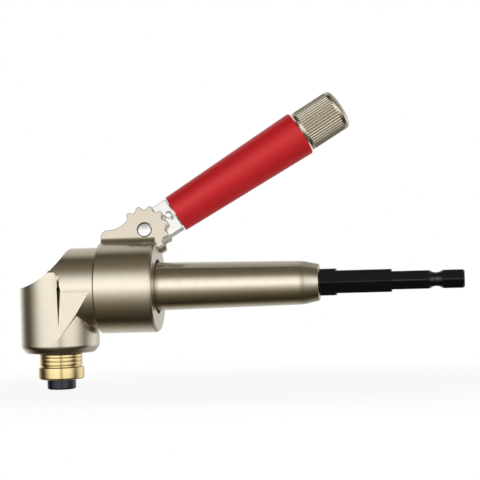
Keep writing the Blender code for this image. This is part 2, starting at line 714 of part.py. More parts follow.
def build_chuck(output_axis):
    """Sprung quick-change sleeve; pulled towards the nose it frees the ball."""
    z = (0, 0, 1)
    half_groove = SLEEVE_GROOVE_WIDTH / 2
    land_bottom = SLEEVE_TOP - SLEEVE_LAND
    land_bore = SPINDLE_R + FIT
    profile = [(SLEEVE_TOP, land_bore), (SLEEVE_TOP, SLEEVE_R - SLEEVE_CHAMFER)]
    profile.append((SLEEVE_TOP - SLEEVE_CHAMFER, SLEEVE_R))
    for groove in SLEEVE_GROOVES:
        profile.append((groove + half_groove, SLEEVE_R))
        profile.append((groove, SLEEVE_R - SLEEVE_GROOVE_DEPTH))
        profile.append((groove - half_groove, SLEEVE_R))
    profile += [
        (SLEEVE_RING_TOP + half_groove, SLEEVE_R),
        (SLEEVE_RING_TOP, SLEEVE_R - SLEEVE_GROOVE_DEPTH),
        (SLEEVE_RING_TOP, SLEEVE_RING_R - SLEEVE_CHAMFER),
        (SLEEVE_RING_TOP - SLEEVE_CHAMFER, SLEEVE_RING_R),
        (SLEEVE_BOTTOM + SLEEVE_CHAMFER, SLEEVE_RING_R),
        (SLEEVE_BOTTOM, SLEEVE_RING_R - SLEEVE_CHAMFER),
        (SLEEVE_BOTTOM, SLEEVE_CAVITY_R),
        (land_bottom, SLEEVE_CAVITY_R),
        (land_bottom, land_bore),
    ]
    piece("chuck_sleeve", turned(profile, z), output_axis, "brass")

    stop_top = SLEEVE_TOP + FIT + CLIP_THICKNESS
    stop = ring(SLEEVE_TOP + FIT, stop_top, land_bore, land_bore + BEARING_RING, z, SMALL_STEPS)
    piece("sleeve_stop_ring", stop, output_axis, "bearing_steel")
    washer_r = SLEEVE_CAVITY_R - FIT
    washer_low = CHUCK_WASHER_TOP - CHUCK_WASHER
    washer = ring(washer_low, CHUCK_WASHER_TOP, land_bore, washer_r, z, SMALL_STEPS)
    piece("spring_washer", washer, output_axis, "bearing_steel")
    clip_low = washer_low - FIT - CLIP_THICKNESS
    clip = open_ring(land_bore, washer_r - FIT, clip_low, CLIP_THICKNESS, z)
    piece("washer_circlip", clip, output_axis, "bearing_steel")

    low = CHUCK_WASHER_TOP + SPRING_WIRE_R + FIT
    high = land_bottom - SPRING_WIRE_R - FIT
    radius = (land_bore + SLEEVE_CAVITY_R) / 2
    per_turn = 12
    rings = []
    for k in range(SPRING_TURNS * per_turn + 1):
        share = k / (SPRING_TURNS * per_turn)
        angle = math.tau * SPRING_TURNS * share
        out = Vector((math.cos(angle), math.sin(angle), 0))
        centre = out * radius + Vector((0, 0, low + (high - low) * share))
        sides = [math.tau * side / 6 for side in range(6)]
        wire = [centre + SPRING_WIRE_R * (out * math.cos(s) + Vector((0, 0, math.sin(s)))) for s in sides]
        rings.append(wire)
    piece("chuck_spring", lofted(rings), output_axis, "bearing_steel")


def ear_outline():
    """Side of an ear: sweep up from the collar, then lobes with lock notches between them."""
    left, right = COLLAR_START + EAR_INSET, COLLAR_END - EAR_INSET
    base = EAR_FLOOR - EAR_INSET - EAR_INSET
    pivot = (PIVOT_X, PIVOT_HEIGHT)
    reach = LOBE_TIP_R + NOTCH_R
    cosine, sine = math.cos(NOTCH_STEP / 2), math.sin(NOTCH_STEP / 2)
    lobe_centre_r = (reach ** 2 - NOTCH_CENTRE_R ** 2) / (2 * (reach - NOTCH_CENTRE_R * cosine))
    lobe_r = LOBE_TIP_R - lobe_centre_r
    lobe_half = math.atan2(NOTCH_CENTRE_R * sine, NOTCH_CENTRE_R * cosine - lobe_centre_r)
    notch_half = math.atan2(lobe_centre_r * sine, NOTCH_CENTRE_R - lobe_centre_r * cosine)

    def around(radius, angle):
        return (pivot[0] + radius * math.cos(angle), pivot[1] + radius * math.sin(angle))

    corner = (left + EAR_CORNER_R, EAR_CORNER_TOP - EAR_CORNER_R)
    sweep = (corner[0], EAR_CORNER_TOP + EAR_SWEEP_R)
    down = math.radians(-90)
    points = [(right, base), (left, base)]
    points += arc(corner, EAR_CORNER_R, math.radians(180), math.radians(90), 5)
    points += arc(sweep, EAR_SWEEP_R, down, down + EAR_SWEEP, 5)[1:]
    first = HANDLE_ANGLE + NOTCH_STEP * (FIRST_LOBES / 2)
    for k in range(FIRST_LOBES):
        angle = first - NOTCH_STEP * k
        start = math.radians(180) if k == 0 else angle + lobe_half
        end = math.radians(-90) if k == FIRST_LOBES - 1 else angle - lobe_half
        points += arc(around(lobe_centre_r, angle), lobe_r, start, end, 4)
        if k < FIRST_LOBES - 1:
            notch = angle - NOTCH_STEP / 2
            start, end = notch + math.pi - notch_half, notch + math.pi + notch_half
            points += arc(around(NOTCH_CENTRE_R, notch), NOTCH_R, start, end, 4)[1:-1]
    points.append((right + EAR_HEEL, EAR_HEEL_HEIGHT))
    points.append((right, EAR_HEEL_HEIGHT))
    return points


def build_collar(collar):
    """Collar that turns on the neck's journal, with the notched clevis ears of the handle."""
    x = (1, 0, 0)
    wall_end = COLLAR_WALL_START + COLLAR_WALL
    profile = [
        (COLLAR_START, JOURNAL_R + FIT),
        (COLLAR_START, COLLAR_R - COLLAR_CHAMFER),
        (COLLAR_START + COLLAR_CHAMFER, COLLAR_R),
        (COLLAR_END - COLLAR_CHAMFER / 2, COLLAR_R),
        (COLLAR_END, COLLAR_R - COLLAR_CHAMFER / 2),
        (COLLAR_END, COLLAR_RECESS_R),
        (wall_end, COLLAR_RECESS_R),
        (wall_end, NECK_START_R + FIT),
        (COLLAR_WALL_START, NECK_START_R + FIT),
        (COLLAR_WALL_START, JOURNAL_R + FIT),
    ]
    body = piece("handle_collar", turned(profile, x, BARREL_STEPS), collar, "satin_nickel")
    plates = prism(ear_outline(), -EAR_HALF_SPAN, EAR_HALF_SPAN, side_view)
    join(body, guide("ear_plates", plates, collar))
    foot = EAR_HALF_SPAN + EAR_FILLET_R
    base = EAR_FLOOR - EAR_INSET
    right_side = arc((foot, EAR_FILLET_TOP), EAR_FILLET_R, math.radians(-90), math.radians(-180), 5)
    left_side = [(-y, z) for y, z in reversed(right_side)]
    saddle = [(-foot, base), (foot, base)] + right_side + left_side
    start, end = COLLAR_START + 2 * EAR_INSET, COLLAR_END - 2 * EAR_INSET
    join(body, guide("ear_fillets", prism(saddle, start, end, end_view), collar))
    top = PIVOT_HEIGHT + 2 * LOBE_TIP_R
    gap = EAR_GAP / 2
    slot = [(-gap, EAR_FLOOR), (gap, EAR_FLOOR), (gap, top), (-gap, top)]
    beyond = PIVOT_X + 2 * LOBE_TIP_R
    cut(body, guide("ear_slot", prism(slot, COLLAR_START - FIT, beyond, end_view), collar))
    y = (0, 1, 0)
    hole_shape = rod(-2 * EAR_HALF_SPAN, 2 * EAR_HALF_SPAN, PIVOT_PIN_R + FIT, y)
    hole = guide("pivot_hole", hole_shape, collar)
    hole.location = (PIVOT_X, 0, PIVOT_HEIGHT)
    cut(body, hole)
    pin_shape = rod(-EAR_HALF_SPAN, EAR_HALF_SPAN, PIVOT_PIN_R, y)
    pin = piece("pivot_pin", pin_shape, collar, "polished_steel")
    pin.location = (PIVOT_X, 0, PIVOT_HEIGHT)


def lock_pin_rest():
    """Distance of the free lock pin from the pivot."""
    return NOTCH_CENTRE_R + LOCK_TRAVEL


def build_handle(handle):
    """Yoke, grip and lock parts along the handle's own +X axis, with the pivot at its origin."""
    x = (1, 0, 0)
    half = TONGUE_WIDTH / 2
    shank_start = GRIP_START - FIT
    tongue = arc((0, 0), half, math.radians(90), math.radians(270), 18)
    tongue += [(shank_start, -half), (shank_start, half)]
    thickness = TONGUE_THICKNESS / 2
    yoke = piece("handle_yoke", prism(tongue, -thickness, thickness, side_view), handle, "polished_steel")
    join(yoke, guide("yoke_shank", rod(shank_start - 2 * FIT, YOKE_END, YOKE_SHANK_R, x), handle))
    cut(yoke, guide("yoke_pivot", rod(-half, half, PIVOT_PIN_R + FIT, (0, 1, 0)), handle))
    slot_half = LOCK_PIN_R + FIT
    near, far = NOTCH_CENTRE_R, lock_pin_rest()
    slot = arc((near, 0), slot_half, math.radians(90), math.radians(270), 8)
    slot += arc((far, 0), slot_half, math.radians(-90), math.radians(90), 8)
    cut(yoke, guide("pin_slot", prism(slot, -half, half, side_view), handle))
    rod_bore = LOCK_ROD_R + FIT
    screw_bore_start = LOCK_SCREW_START - LOCK_TRAVEL - FIT
    bore = [
        (far, 0), (far, rod_bore), (screw_bore_start, rod_bore), (screw_bore_start, LOCK_SCREW_R + FIT),
        (YOKE_END + FIT, LOCK_SCREW_R + FIT), (YOKE_END + FIT, 0),
    ]
    cut(yoke, guide("lock_bore", turned(bore, x, 24), handle))
    groove_start, groove_end = knob_clip_span()
    groove = ring(groove_start - FIT, groove_end + FIT, YOKE_SHANK_R - 2 * FIT, 2 * YOKE_SHANK_R, x)
    cut(yoke, guide("clip_groove", groove, handle))

    grip_bore = YOKE_SHANK_R + FIT
    grip = [
        (GRIP_START, grip_bore),
        (GRIP_START, GRIP_START_R - GRIP_ROUND),
        (GRIP_START + GRIP_ROUND / 2, GRIP_START_R),
        (GRIP_END - GRIP_ROUND, GRIP_END_R),
        (GRIP_END, GRIP_END_R - GRIP_ROUND),
        (GRIP_END, grip_bore),
    ]
    piece("grip_sleeve", turned(grip, x), handle, "red_anodised")


def knob_start():
    return GRIP_END + FIT


def knob_clip_span():
    start = knob_start() + KNOB_CLIP_SET
    return start, start + CIRCLIP_WIDTH


def build_lock(handle):
    x, y = (1, 0, 0), (0, 1, 0)
    clip_start, clip_end = knob_clip_span()
    clip_inner, clip_outer = YOKE_SHANK_R - FIT, YOKE_SHANK_R + BEARING_RING
    clip = open_ring(clip_inner, clip_outer, clip_start, CIRCLIP_WIDTH, x)
    piece("knob_clip", clip, handle, "bearing_steel")

    bore = YOKE_SHANK_R + FIT
    start = knob_start()
    rim = KNOB_R - KNOB_RIM
    cap_start = KNOB_END - KNOB_CAP
    knob = [
        (start, bore),
        (start, rim),
        (start + KNOB_RIM, KNOB_R),
        (KNOB_END - KNOB_RIM_CHAMFER, KNOB_R),
        (KNOB_END, KNOB_R - KNOB_RIM_CHAMFER),
        (KNOB_END, 0),
        (cap_start, 0),
        (cap_start, KNOB_THREAD_R),
        (YOKE_END + 2 * FIT, KNOB_THREAD_R),
        (YOKE_END + 2 * FIT, bore),
        (clip_end + FIT, bore),
        (clip_end + FIT, clip_outer + FIT),
        (clip_start - FIT, clip_outer + FIT),
        (clip_start - FIT, bore),
    ]
    piece("lock_knob", knob_shape(knob), handle, "bright_nickel")

    rod_start = lock_pin_rest() + LOCK_PIN_R + FIT
    screw_end = cap_start - FIT
    screw = [
        (rod_start, 0), (rod_start, LOCK_ROD_R), (LOCK_SCREW_START, LOCK_ROD_R),
        (LOCK_SCREW_START, LOCK_SCREW_R), (screw_end, LOCK_SCREW_R), (screw_end, 0),
    ]
    piece("lock_rod", turned(screw, x, 24), handle, "bearing_steel")
    pin = rod(-EAR_HALF_SPAN, EAR_HALF_SPAN, LOCK_PIN_R, y, 20)
    bmesh.ops.translate(pin, verts=pin.verts, vec=(lock_pin_rest(), 0, 0))
    piece("lock_cross_pin", pin, handle, "bearing_steel")


def knob_shape(profile):
    """Turned knob whose closed profile touches the axis between its cap's two faces."""
    bm = bmesh.new()
    verts = [bm.verts.new((a, 0, r)) for a, r in profile]
    for k, vert in enumerate(verts):
        after = verts[(k + 1) % len(verts)]
        if vert.co.z > 0 or after.co.z > 0:
            bm.edges.new((vert, after))
    bmesh.ops.spin(
        bm, geom=list(bm.verts) + list(bm.edges), cent=(0, 0, 0), axis=(1, 0, 0),
        angle=math.tau, steps=STEPS, use_merge=True,
    )
    return bm


def main():
    clear_scene()
    head = frame("gear_centre", location=(-SHANK_END, 0, 0))
    input_axis = frame("input_axis", head)
    output_axis = frame("output_axis", head)
    collar = frame("collar_axis", head, rotation=(COLLAR_LEAN, 0, 0))
    handle = frame("handle_pivot", collar, (PIVOT_X, 0, PIVOT_HEIGHT), (0, -HANDLE_ANGLE, 0))
    build_housing(head)
    build_neck(head)
    build_bearings(head, input_axis, output_axis)
    build_gears(input_axis, output_axis)
    build_shaft(input_axis)
    build_spindle(output_axis)
    build_chuck(output_axis)
    build_collar(collar)
    build_handle(handle)
    build_lock(handle)


main()
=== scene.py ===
import json
import math

import bmesh
import bpy
from bpy.props import FloatProperty, FloatVectorProperty, IntProperty, PointerProperty
from mathutils import Matrix, Vector


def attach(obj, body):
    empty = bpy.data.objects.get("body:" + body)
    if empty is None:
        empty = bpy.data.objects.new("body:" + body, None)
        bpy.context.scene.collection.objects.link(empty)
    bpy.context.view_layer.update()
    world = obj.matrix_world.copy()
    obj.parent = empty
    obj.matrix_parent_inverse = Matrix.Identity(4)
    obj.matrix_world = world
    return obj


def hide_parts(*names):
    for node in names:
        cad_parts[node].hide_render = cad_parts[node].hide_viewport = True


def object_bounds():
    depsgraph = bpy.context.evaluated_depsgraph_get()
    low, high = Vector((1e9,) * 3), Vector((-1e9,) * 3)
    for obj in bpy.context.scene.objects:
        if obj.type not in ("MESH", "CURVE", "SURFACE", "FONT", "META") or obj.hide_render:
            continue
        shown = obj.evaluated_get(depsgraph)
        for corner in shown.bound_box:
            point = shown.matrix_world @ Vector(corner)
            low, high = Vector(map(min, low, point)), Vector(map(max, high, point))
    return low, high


bl_info = {
    "name": "Right Angle Drill Adapter",
    "version": (1, 0, 0),
    "blender": (4, 5, 0),
    "location": "View3D > Sidebar > Adapter",
    "description": "Dresses the right angle drill adapter in its finished surfaces",
    "category": "Object",
}

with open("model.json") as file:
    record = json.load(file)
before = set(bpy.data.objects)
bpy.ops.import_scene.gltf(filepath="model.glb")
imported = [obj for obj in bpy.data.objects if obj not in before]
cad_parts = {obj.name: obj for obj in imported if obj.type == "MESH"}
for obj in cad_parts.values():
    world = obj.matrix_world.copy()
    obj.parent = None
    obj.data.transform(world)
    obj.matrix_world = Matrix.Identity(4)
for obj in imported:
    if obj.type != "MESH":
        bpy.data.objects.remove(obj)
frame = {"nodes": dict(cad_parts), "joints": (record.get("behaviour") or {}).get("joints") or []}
CAD_BOX = [list(corner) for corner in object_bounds()]
MM = 0.001

# Places that the joints give: the centre of the gears, the handle's hinge and the handle's axis
JOINTS = {joint["name"]: joint for joint in frame["joints"]}
GEAR_CENTRE = Vector(JOINTS["output_spin"]["pos_m"])
HINGE = Vector(JOINTS["handle_pivot"]["pos_m"])
HINGE_AXIS = Vector(JOINTS["handle_pivot"]["axis"])
HANDLE_AXIS = Vector(JOINTS["knob_turn"]["axis"])
LEAN = -math.asin(HINGE_AXIS.z)

HEAD = Matrix.Translation(GEAR_CENTRE)
UPRIGHT = HEAD @ Matrix.Rotation(math.radians(-90), 4, "Y")
COLLAR = HEAD @ Matrix.Rotation(LEAN, 4, "X")
PIVOT_X = HINGE.x - GEAR_CENTRE.x
PIVOT_HEIGHT = math.hypot(HINGE.y, HINGE.z)


def frame_on(origin, x_axis, y_axis):
    """Matrix whose X and Y axes run along two directions from an origin."""
    turn = Matrix((x_axis, y_axis, x_axis.cross(y_axis))).transposed()
    return Matrix.Translation(origin) @ turn.to_4x4()


HANDLE = frame_on(HINGE, HANDLE_AXIS, -HINGE_AXIS)
AXIS_IN_COLLAR = COLLAR.inverted().to_3x3() @ HANDLE_AXIS
HANDLE_ANGLE = math.atan2(AXIS_IN_COLLAR.z, AXIS_IN_COLLAR.x)


def linear(code):
    """Linear colour of an sRGB hex code."""
    values = [int(code[k:k + 2], 16) / 255 for k in (1, 3, 5)]
    return tuple(v / 12.92 if v <= 0.04045 else ((v + 0.055) / 1.055) ** 2.4 for v in values)


# Settings that a user would change


def length(name, description, millimetres):
    return FloatProperty(
        name=name, description=description, default=millimetres * MM, min=0.0,
        precision=5, unit="LENGTH", subtype="DISTANCE",
    )


def colour(name, description, code):
    return FloatVectorProperty(
        name=name, description=description, default=linear(code), min=0.0, max=1.0,
        size=3, subtype="COLOR",
    )


class AdapterSizes(bpy.types.PropertyGroup):
    plate_edge: length("Plate edge", "Radius on the rims of the ear plates", 0.28)
    knurl_depth: length("Knurl depth", "Depth of the knob's straight ridges", 0.3)
    ridges: IntProperty(name="Ridges", description="Ridges round the knob", default=44, min=12)
    turn_steps: IntProperty(
        name="Steps", description="Faces round a turned piece", default=192, min=24,
    )


class AdapterFinishes(bpy.types.PropertyGroup):
    nickel: colour("Nickel", "Satin nickel plating of the casting and collar", "#DCD3C1")
    brass: colour("Brass", "Turned brass of the chuck sleeve", "#EBD59E")
    oxide: colour("Black oxide", "Blackened steel of the shank and nose", "#45484F")
    anodise: colour("Red", "Anodised grip", "#F5252F")
    steel: colour("Steel", "Polished steel of the yoke and pin", "#E9E8E4")


class AdapterStage(bpy.types.PropertyGroup):
    lens: FloatProperty(
        name="Lens", description="Focal length of the camera in millimetres", default=128.18,
    )
    light: FloatProperty(
        name="Light", description="Brightness of the studio round the object", default=1.0,
    )


# Meshes


def mm(points):
    """Points written in millimetres, in metres."""
    return [tuple(value * MM for value in point) for point in points]


def arc(centre, radius, start, end, steps):
    """Points on an arc, from one angle to another in degrees."""
    points = []
    for k in range(steps + 1):
        angle = math.radians(start + (end - start) * k / steps)
        points.append((centre[0] + radius * math.cos(angle), centre[1] + radius * math.sin(angle)))
    return points


def ring_edges(bm, along, radius):
    """Edges of a turned form that lie on one circle."""
    def on_circle(vert):
        off = math.hypot(vert.co.y, vert.co.z) - radius
        return abs(vert.co.x - along) < 1e-6 and abs(off) < 1e-6

    return [edge for edge in bm.edges if all(on_circle(vert) for vert in edge.verts)]


def soften(bm, edges, radius, segments=3):
    bmesh.ops.bevel(
        bm, geom=edges, offset=radius, offset_type="OFFSET", segments=segments,
        profile=0.5, affect="EDGES", clamp_overlap=True, material=-1,
    )


def turned(profile, rounds=(), steps=None):
    """Spin (along, radius) millimetres about local X, then round the corners that are named.

    Each round is (corner number, radius in mm, segments).
    """
    steps = steps or bpy.context.scene.adapter_sizes.turn_steps
    points = mm(profile)
    bm = bmesh.new()
    verts = [bm.verts.new((along, 0, radius)) for along, radius in points]
    for first, second in zip(verts, verts[1:] + verts[:1]):
        if first.co.z > 0 or second.co.z > 0:
            bm.edges.new((first, second))
    bmesh.ops.spin(
        bm, geom=bm.verts[:] + bm.edges[:], cent=(0, 0, 0), axis=(1, 0, 0),
        angle=math.tau, steps=steps, use_merge=True,
    )
    bmesh.ops.remove_doubles(bm, verts=bm.verts, dist=1e-7)
    bmesh.ops.recalc_face_normals(bm, faces=bm.faces)
    for corner, radius, segments in rounds:
        soften(bm, ring_edges(bm, *points[corner]), radius * MM, segments)
    return bm


def slab(outline, low, high, normal="Y", rim=0.0):
    """Extrude an outline in millimetres between two planes, with its rims rounded."""
    bm = bmesh.new()
    face = bm.faces.new([bm.verts.new((u, 0, v)) for u, v in mm(outline)])
    bmesh.ops.translate(bm, verts=bm.verts, vec=(0, low * MM, 0))
    moved = bmesh.ops.extrude_face_region(bm, geom=[face])["geom"]
    verts = [item for item in moved if isinstance(item, bmesh.types.BMVert)]
    bmesh.ops.translate(bm, verts=verts, vec=(0, (high - low) * MM, 0))
    bmesh.ops.recalc_face_normals(bm, faces=bm.faces)
    if rim:
        def on_rim(edge):
            return any(
                all(abs(vert.co.y - plane) < 1e-7 for vert in edge.verts)
                for plane in (low * MM, high * MM)
            )

        soften(bm, [edge for edge in bm.edges if on_rim(edge)], rim * MM, 3)
    if normal == "X":
        bm.transform(Matrix(((0, 1, 0, 0), (1, 0, 0, 0), (0, 0, 1, 0), (0, 0, 0, 1))))
        bmesh.ops.recalc_face_normals(bm, faces=bm.faces)
    return bm


def hex_bar(start, end, flats, across_edge):
    """Hexagon bar along local X with flats above and below and its long edges broken."""
    bm = bmesh.new()
    bmesh.ops.create_circle(bm, cap_ends=True, segments=6, radius=flats / math.sqrt(3) * MM)
    bm.transform(Matrix.Translation((start * MM, 0, 0)) @ Matrix.Rotation(math.radians(90), 4, "Y"))
    moved = bmesh.ops.extrude_face_region(bm, geom=bm.faces[:])["geom"]
    verts = [item for item in moved if isinstance(item, bmesh.types.BMVert)]
    bmesh.ops.translate(bm, verts=verts, vec=((end - start) * MM, 0, 0))
    bmesh.ops.recalc_face_normals(bm, faces=bm.faces)
    long_edges = [e for e in bm.edges if abs(e.verts[0].co.x - e.verts[1].co.x) > 1e-6]
    soften(bm, long_edges, across_edge * MM, 2)
    return bm


def combined(first, second, operation):
    """Boolean of two forms, worked out by a modifier on objects that are removed again."""
    objects = []
    for bm in (first, second):
        mesh = bpy.data.meshes.new("form")
        bm.to_mesh(mesh)
        bm.free()
        objects.append(bpy.data.objects.new("form", mesh))
        bpy.context.scene.collection.objects.link(objects[-1])
    modifier = objects[0].modifiers.new("form", "BOOLEAN")
    modifier.operation = operation
    modifier.solver = "EXACT"
    modifier.object = objects[1]
    result = bmesh.new()
    result.from_object(objects[0], bpy.context.evaluated_depsgraph_get())
    for obj in objects:
        bpy.data.meshes.remove(obj.data, do_unlink=True)
    if not result.faces:
        raise RuntimeError("a form came out empty: " + operation)
    slivers = [edge for edge in result.edges if edge.is_boundary]
    bmesh.ops.holes_fill(result, edges=slivers, sides=12)
    bmesh.ops.recalc_face_normals(result, faces=result.faces)
    return result


def merge(first, second):
    """Put the faces of one form into another."""
    mesh = bpy.data.meshes.new("form")
    second.to_mesh(mesh)
    second.free()
    first.from_mesh(mesh)
    bpy.data.meshes.remove(mesh)
    return first


def piece(name, bm, place, material, body, nodes, sharp=30):
    """Finish a form: put it in place, shade it, give it its metal and let it ride."""
    bm.transform(place)
    bmesh.ops.remove_doubles(bm, verts=bm.verts, dist=1e-7)
    bmesh.ops.recalc_face_normals(bm, faces=bm.faces)
    mesh = bpy.data.meshes.new(name)
    bm.to_mesh(mesh)
    bm.free()
    mesh.shade_smooth()
    mesh.set_sharp_from_angle(angle=math.radians(sharp))
    mesh.materials.append(material)
    obj = bpy.data.objects.new(name, mesh)
    bpy.context.scene.collection.objects.link(obj)
    even = obj.modifiers.new("even shading", "WEIGHTED_NORMAL")
    even.keep_sharp = True
    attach(obj, body)
    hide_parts(*nodes)
    return obj


# Materials


def add(tree, kind, inputs=None, **settings):
    """Add a node with its settings, and give its inputs values or links."""
    made = tree.nodes.new(kind)
    for key, value in settings.items():
        setattr(made, key, value)
    for key, value in (inputs or {}).items():
        if isinstance(value, bpy.types.NodeSocket):
            tree.links.new(value, made.inputs[key])
        else:
            made.inputs[key].default_value = value
    return made


def shades(ramp, stops):
    """Fill a colour ramp with (position, grey or colour) stops."""
    elements = ramp.color_ramp.elements
    while len(elements) > 1:
        elements.remove(elements[-1])
    for k, (position, shade) in enumerate(stops):
        element = elements[0] if k == 0 else elements.new(position)
        element.position = position
        shade = (shade,) * 3 if isinstance(shade, (int, float)) else shade
        element.color = (*shade, 1.0)


def worked_metal(
    name, shade, rough, place, grain, spread=0.08, lift=0.01, metallic=1.0, mottle=0.08,
):
    """Metal with a worked surface.

    Grain is its size in mm along and across the axis of place, spread its share in the roughness
    and lift its height in mm.
    """
    made = bpy.data.materials.get(name)
    if made:
        return made
    made = bpy.data.materials.new(name)
    made.use_nodes = True
    tree = made.node_tree
    shader = tree.nodes["Principled BSDF"]
    where = add(tree, "ShaderNodeTexCoord").outputs["Object"]
    local = add(tree, "ShaderNodeMapping", {
        "Vector": where, "Location": place.to_translation(), "Rotation": place.to_euler(),
        "Scale": (grain[0] * MM, grain[1] * MM, grain[1] * MM),
    }, vector_type="TEXTURE").outputs["Vector"]
    lines = add(tree, "ShaderNodeTexNoise", {
        "Vector": local, "Scale": 1.0, "Detail": 3.0, "Roughness": 0.6,
    })
    # Patches of about 4 mm, as plating and oxide show in the hand.
    patches = add(tree, "ShaderNodeTexNoise", {"Vector": where, "Scale": 260.0, "Detail": 4.0})
    rough_range = add(tree, "ShaderNodeMapRange", {
        "Value": lines.outputs["Fac"], "From Min": 0.3, "From Max": 0.7,
        "To Min": rough - spread, "To Max": rough + spread,
    })
    tree.links.new(rough_range.outputs["Result"], shader.inputs["Roughness"])
    tone = add(tree, "ShaderNodeValToRGB", {"Fac": patches.outputs["Fac"]})
    shades(tone, [(0.35, tuple(c * (1 - mottle) for c in shade)), (0.65, tuple(shade))])
    tree.links.new(tone.outputs["Color"], shader.inputs["Base Color"])
    bump = add(tree, "ShaderNodeBump", {
        "Height": lines.outputs["Fac"], "Strength": 0.5, "Distance": lift * MM,
    })
    tree.links.new(bump.outputs["Normal"], shader.inputs["Normal"])
    shader.inputs["Metallic"].default_value = metallic
    return made


def satin_nickel_cast():
    # Satin nickel over a blasted casting: warm, broad highlights and a fine even grain of about
    # 0.1 mm, drawn at 0.4 mm so that it shows.
    return worked_metal(
        "satin nickel, blasted casting", finishes().nickel, 0.29, HEAD, (0.4, 0.4), 0.02, 0.0006,
        mottle=0.03,
    )


def painted_crease_shade():
    # Painted shade: the crease's faces get a dark, dull colour that stands in for the shade falling
    # in the crease, so the crease reads as a line.
    return worked_metal(
        "painted crease shade, dark and dull", linear("#5E5546"), 0.5, HEAD, (0.4, 0.4), 0.05, 0.001,
    )


def satin_nickel_turned():
    # Satin nickel over a turned ring: the tool's rings, 0.1 mm apart, drawn at 0.35 mm, run
    # round it and are only just seen.
    return worked_metal(
        "satin nickel, turned", finishes().nickel, 0.27, COLLAR, (0.35, 9.0), 0.015, 0.0003,
        mottle=0.03,
    )


def nickel_neck():
    # Nickel plating over a ground tube: brighter, with faint rings.
    return worked_metal(
        "nickel, ground tube", finishes().nickel, 0.24, HEAD, (0.5, 12.0), 0.03, 0.0007,
        mottle=0.03,
    )


def nickel_knurl():
    # Nickel plating on a knurled knob: bright on the flat tops, with faint lengthwise streaks.
    return worked_metal(
        "nickel, knurled", finishes().nickel, 0.26, HANDLE, (3.0, 0.4), 0.02, 0.0003,
        mottle=0.03,
    )


def turned_brass():
    # Free-cutting brass, turned and left bright: rings 0.1 mm apart, drawn at 0.3 mm.
    return worked_metal(
        "brass, turned", finishes().brass, 0.20, UPRIGHT, (0.3, 6.0), 0.04, 0.002, mottle=0.05,
    )


def black_oxide_drawn():
    # Drawn hexagon steel with black oxide: dark flats and lengthwise draw lines.
    return worked_metal(
        "black oxide, drawn bar", finishes().oxide, 0.30, HEAD, (6.0, 0.3), 0.08, 0.006,
        mottle=0.2,
    )


def black_oxide_turned():
    # The same finish on the turned nose: the lines run round it.
    return worked_metal(
        "black oxide, turned", finishes().oxide, 0.32, UPRIGHT, (0.3, 6.0), 0.08, 0.006,
        mottle=0.2,
    )


def red_anodised():
    # Anodised aluminium tube: the colour is even and the gloss broad, with very faint turning
    # rings. Its dye scatters light, so it is mostly not metallic to the eye.
    return worked_metal(
        "anodised aluminium, red", finishes().anodise, 0.42, HANDLE, (0.4, 12.0), 0.03, 0.001,
        metallic=0.15, mottle=0.03,
    )


def polished_steel():
    # Ground and polished steel strip: near white where it faces the light.
    return worked_metal(
        "steel, polished strip", finishes().steel, 0.16, HANDLE, (5.0, 0.3), 0.05, 0.003,
    )


def finishes():
    return bpy.context.scene.adapter_finishes


def sizes():
    return bpy.context.scene.adapter_sizes


# Pieces: sizes are in millimetres, with stations measured from the gear centre, or from the hinge
# for the pieces of the handle

UPRIGHT_R, UPRIGHT_BOTTOM = 13.95, -22.5
SIDE_R, SIDE_START, SIDE_END = 14.4, 2.3, 15.2
# Just inside the side barrel, because faces that fall together break a boolean
CROWN_R = 14.35
WEB_HALF = 14.36
SCOOP_CENTRE, SCOOP_R = (-16.34, 23.42), 23.0
COLLAR_R, COLLAR_START, COLLAR_END = 16.15, 15.5, 36.0
JOURNAL_R = 10.5
EAR_HALF, FORK_HALF, FORK_FLOOR = 4.9, 2.5, 12.9
NOTCH_AT, NOTCH_R, NOTCH_STEP = 8.65, 1.3, 30.0
EAR_TIP = 8.7
HINGE_PIN_R, HINGE_HOLE_R = 2.45, 2.75
LOCK_PIN_R, LOCK_PIN_AT, LOCK_SLOT_R = 1.15, 10.15, 1.25
TONGUE_R, TONGUE_HALF, TONGUE_END = 6.1, 2.2, 12.0
YOKE_R, YOKE_END = 4.8, 69.0
CLIP_START, CLIP_END = 66.8, 68.4
FIRST_HEX, MIDDLE_HEX, DRIVE_HEX = 9.3, 7.94, 6.35
NOSE_R, NOSE_END = 5.1, -35.6
SLEEVE_R, SLEEVE_TOP, SLEEVE_GROOVES = 7.6, -22.9, (-24.2, -25.6)
RING_R, RING_TOP, RING_BOTTOM = 8.2, -27.5, -32.0
GRIP_START, GRIP_END = 12.3, 65.6
KNOB_R, KNOB_START = 7.5, 65.9
KNURL_START, KNURL_END = 67.2, 79.8


def crease(side):
    """Slit between the two barrels, pointed at both ends; with painted shade on its faces it reads
    as a dark line.
    """
    bm = bmesh.new()
    for along, out, up in mm([
        (2.5, 14.1, 4.4), (2.65, 14.45, -13.6), (2.42, 14.6, 0), (3.8, 14.6, 0), (2.5, 12.2, 0),
        (3.4, 12.2, 0),
    ]):
        bm.verts.new((along, out * side, up))
    bmesh.ops.convex_hull(bm, input=bm.verts[:])
    bmesh.ops.recalc_face_normals(bm, faces=bm.faces)
    return bm


def paint_crease_shade(elbow):
    """Give the walls and floor of the slits the elbow's second material, a painted dark shade."""
    # A box round each slit, in mm: the walls are painted dark as shade almost to the skin, other
    # faces less far out
    for face in elbow.data.polygons:
        along, out, up = (face.center - GEAR_CENTRE) / MM
        deepest = 14.3 if abs(face.normal.x) > 0.5 else 13.3
        if 2.3 < along < 4.0 and 11 < abs(out) < deepest and -14 < up < 5:
            face.material_index = 1


def upright_form(profile, rounds=(), steps=None):
    """Spin a profile about the upright axis of the elbow."""
    form = turned(profile, rounds, steps)
    form.transform(Matrix.Rotation(math.radians(-90), 4, "Y"))
    return form


